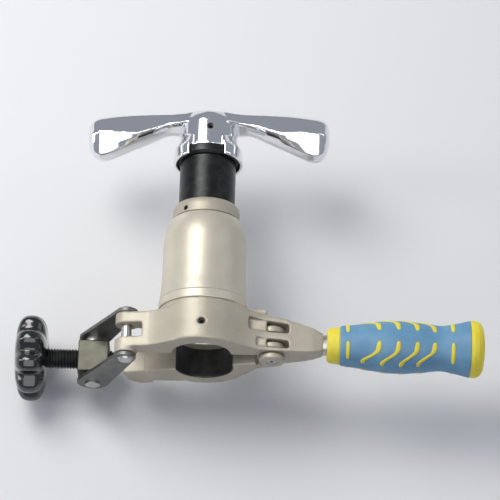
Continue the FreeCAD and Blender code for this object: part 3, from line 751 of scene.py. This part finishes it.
def stripe(x0, phase, half_angle, slant, half_width, low, high):
    """A raised S-shaped stripe: rows of points across it, from its flat end to its steep end."""
    centre = (low + high) / 2
    rows, columns = STRIPE_ROWS, STRIPE_COLUMNS
    points = []
    for row in range(rows + 1):
        t = 2.0 * row / rows - 1.0
        x_line = x0 + slant * (2.0 * smoothstep(*STRIPE_BEND, t) - 1.0) + slant * STRIPE_LEAN * t
        end = math.sqrt(max(1.0 - abs(t) ** STRIPE_END_POWER, 0.0))
        for column in range(columns):
            across = 2.0 * column / (columns - 1) - 1.0
            x = x_line + half_width * end * across
            lift = STRIPE_RISE * (1.0 - across ** STRIPE_CROWN_POWER) * min(end * STRIPE_END_RISE, 1.0)
            if abs(across) == 1.0 or row in (0, rows):
                lift = -STRIPE_SUNK
            radius = grip_radius(x, low, high) + lift
            angle = phase - half_angle * t
            points.append((x, centre.y - radius * math.sin(angle), centre.z + radius * math.cos(angle)))
    faces = []
    for row in range(rows):
        for column in range(columns - 1):
            first = row * columns + column
            faces.append((first, first + 1, first + columns + 1, first + columns))
    edge = [row * columns for row in range(rows + 1)]
    edge += [rows * columns + column for column in range(1, columns)]
    edge += [row * columns + columns - 1 for row in range(rows - 1, -1, -1)]
    edge += [column for column in range(columns - 2, 0, -1)]
    faces.append(tuple(edge))
    return points, faces


def grip_stripes():
    """Rows of bent stripes and upright bars, a little proud of the grip. Every second row is mirrored."""
    low, high = corners("grip_core")
    length = high.x - low.x
    parts = []
    for index in range(STRIPES_ROUND):
        phase = STRIPE_PHASE + 2.0 * math.pi / STRIPES_ROUND * index
        side = -1 if index % 2 else 1
        for place in STRIPE_PLACES:
            parts.append(stripe(low.x + place * length, phase, side * STRIPE_HALF_ANGLE, STRIPE_SLANT,
                                STRIPE_HALF, low, high))
        for place in BAR_PLACES:
            parts.append(stripe(low.x + place * length, phase - side * BAR_SHIFT, side * BAR_HALF_ANGLE, 0.0,
                                BAR_HALF, low, high))
    return add_piece("grip_stripes", joined(parts), "frame", "grip_yellow", YELLOW, "grip_inlays")


# Castings

CAST_VOXEL = 0.0006
WELD = 0.000002
WINDOW_FRONT = (0.0085, 0.0200)
BLEND_STEPS = 14
BLEND_ROOT = 0.004
BLEND_LIP = 0.002
BLENDS = (
    # where the curve leaves the wing's face, its corner, and where it meets the ring, as (x, z); top
    ((-0.0320, 0.0113), (-0.0280, 0.0118), (-0.0140, 0.0211), 0.0215),
    ((0.0370, 0.0096), (0.0288, 0.0102), (0.0150, 0.0204), 0.0252),
)
CLEARED = (
    # outlines as (x, y): the hinge's two windows, and the space above the wing's sloping top
    ((0.0310, 0.0024), (0.0496, 0.0018), (0.0496, 0.0064), (0.0310, 0.0076)),
    ((0.0265, 0.0119), (0.0496, 0.0109), (0.0496, 0.0164), (0.0265, 0.0192)),
    ((0.0256, 0.0234), (0.0520, 0.0187), (0.0520, 0.0300), (0.0256, 0.0300)),
)


def extruded(outline, low, high, place):
    """A closed prism: place turns an outline's point and a height into a position."""
    points = [place(point, height) for height in (low, high) for point in outline]
    return points, ring_faces(2, len(outline), capped=True)


def wing_blends():
    """The concave rounds that run the wings into the ring, as closed solids."""
    solids = []
    for start, corner, end, top in BLENDS:
        outline = []
        for step in range(BLEND_STEPS + 1):
            t = step / BLEND_STEPS
            outline.append(tuple((1 - t) ** 2 * a + 2 * t * (1 - t) * b + t * t * c
                                 for a, b, c in zip(start, corner, end)))
        outline += [(end[0], end[1] - BLEND_ROOT), (corner[0], start[1] - BLEND_ROOT),
                    (start[0], start[1] - BLEND_LIP)]
        solids.append(extruded(outline, 0.0, top, lambda point, height: (point[0], height, point[1])))
    blends = joined(solids)
    cutters = [cutter("window", *extruded(outline, *WINDOW_FRONT, lambda point, height: (*point, height)))
               for outline in CLEARED]
    opened = modified(blends, *[("BOOLEAN", {"operation": "DIFFERENCE", "object": window, "solver": "EXACT"})
                                for window in cutters])
    for window in cutters:
        bpy.data.objects.remove(window)
    return opened


def casting(name, node, body, material, extra=None):
    """A cast copy of a node: its own shape, with every edge run soft as it leaves the mould."""
    shape = bmesh.new()
    shape.from_mesh(nodes[node].data)
    if extra is not None:
        shape.from_mesh(extra)
    bmesh.ops.remove_doubles(shape, verts=shape.verts, dist=WELD)
    sharp = bpy.data.meshes.new(name)
    shape.to_mesh(sharp)
    shape.free()
    mesh = modified(sharp, ("REMESH", {"mode": "VOXEL", "voxel_size": CAST_VOXEL}), SOFTEN)
    mesh.shade_smooth()
    return add_piece(name, mesh, body, "satin_nickel", material, node)


casting("frame_cast", "frame_casting", "frame", NICKEL, wing_blends())
casting("jaw_cast", "rear_jaw", "jaw", JAW_NICKEL)
knob()
threaded_screw()
handle()
grip_core()
grip_stripes()

# ------------------------------------------------------------------- stage

FLOOR_HALF = 3.0
FLOOR_GAP = 0.0005


def floor():
    """A wide, flat, pale floor just under the object."""
    mesh = bpy.data.meshes.new("floor")
    half = FLOOR_HALF
    z = LOW.z - FLOOR_GAP
    sheet = [(-half, -half, z), (half, -half, z), (half, half, z), (-half, half, z)]
    mesh.from_pydata(sheet, [], [(0, 1, 2, 3)])
    floor_object = bpy.data.objects.new("floor", mesh)
    bpy.context.scene.collection.objects.link(floor_object)
    s = Surface("floor_paper", (0.80, 0.80, 0.81), 0.85)
    s.bump(s.noise(0.003, 3.0), 0.00005, 0.3)
    mesh.materials.append(s.material)


def area_light(name, place, aim, size, power, colour=(1.0, 1.0, 1.0)):
    """A rectangular light at a place, facing its aim. Size is in metres and power in watts."""
    data = bpy.data.lights.new(name, "AREA")
    data.shape = "RECTANGLE"
    data.size = size[0]
    data.size_y = size[1]
    data.energy = power
    data.color = colour
    light = bpy.data.objects.new(name, data)
    light.location = place
    light.rotation_euler = (Vector(aim) - Vector(place)).to_track_quat("-Z", "Y").to_euler()
    bpy.context.scene.collection.objects.link(light)
    return light


def lights():
    """A warm key light, two side lights, a card for the chrome to reflect, and a pale blue surround."""
    centre = tuple(CENTRE)
    area_light("key", (-0.42, 0.45, 0.95), centre, (0.55, 0.7), 8.8, (1.0, 0.98, 0.94))
    area_light("left_strip", (-0.85, 0.10, 0.45), centre, (0.16, 0.9), 2.2)
    area_light("right_fill", (0.9, 0.3, 0.6), centre, (0.4, 0.8), 0.9, (0.92, 0.96, 1.0))
    card = area_light("front_card", (0.0, -0.85, 1.55), centre, (2.4, 1.9), 23.0)
    card.visible_diffuse = False
    world = bpy.data.worlds.new("studio")
    world.use_nodes = True
    background = world.node_tree.nodes["Background"]
    background.inputs["Color"].default_value = (0.74, 0.79, 0.90, 1.0)
    background.inputs["Strength"].default_value = 0.40
    bpy.context.scene.world = world


def camera():
    """Looks down at the object from the side of its open seat, turned a little on its axis."""
    distance = 1.384
    tilt = math.radians(24.2)
    roll = math.radians(1.6)
    shown_width = 0.290
    above_barrel_foot = 0.0438
    sideways = 0.002
    aim = Vector((CENTRE.x, corners("barrel")[0].y + above_barrel_foot, 0.0))
    back = Vector((sideways, -math.sin(tilt), math.cos(tilt))).normalized()
    right = Vector((0.0, 1.0, 0.0)).cross(back).normalized()
    up = back.cross(right)
    turn = Matrix((right, up, back)).transposed() @ Matrix.Rotation(roll, 3, "Z")
    data = bpy.data.cameras.new("camera")
    data.sensor_width = 36.0
    data.lens = data.sensor_width * distance / shown_width
    data.clip_end = 20.0
    view = bpy.data.objects.new("camera", data)
    view.location = aim + back * distance
    view.rotation_euler = turn.to_euler()
    bpy.context.scene.collection.objects.link(view)
    bpy.context.scene.camera = view


floor()
lights()
camera()
bpy.context.scene.view_settings.view_transform = "Standard"
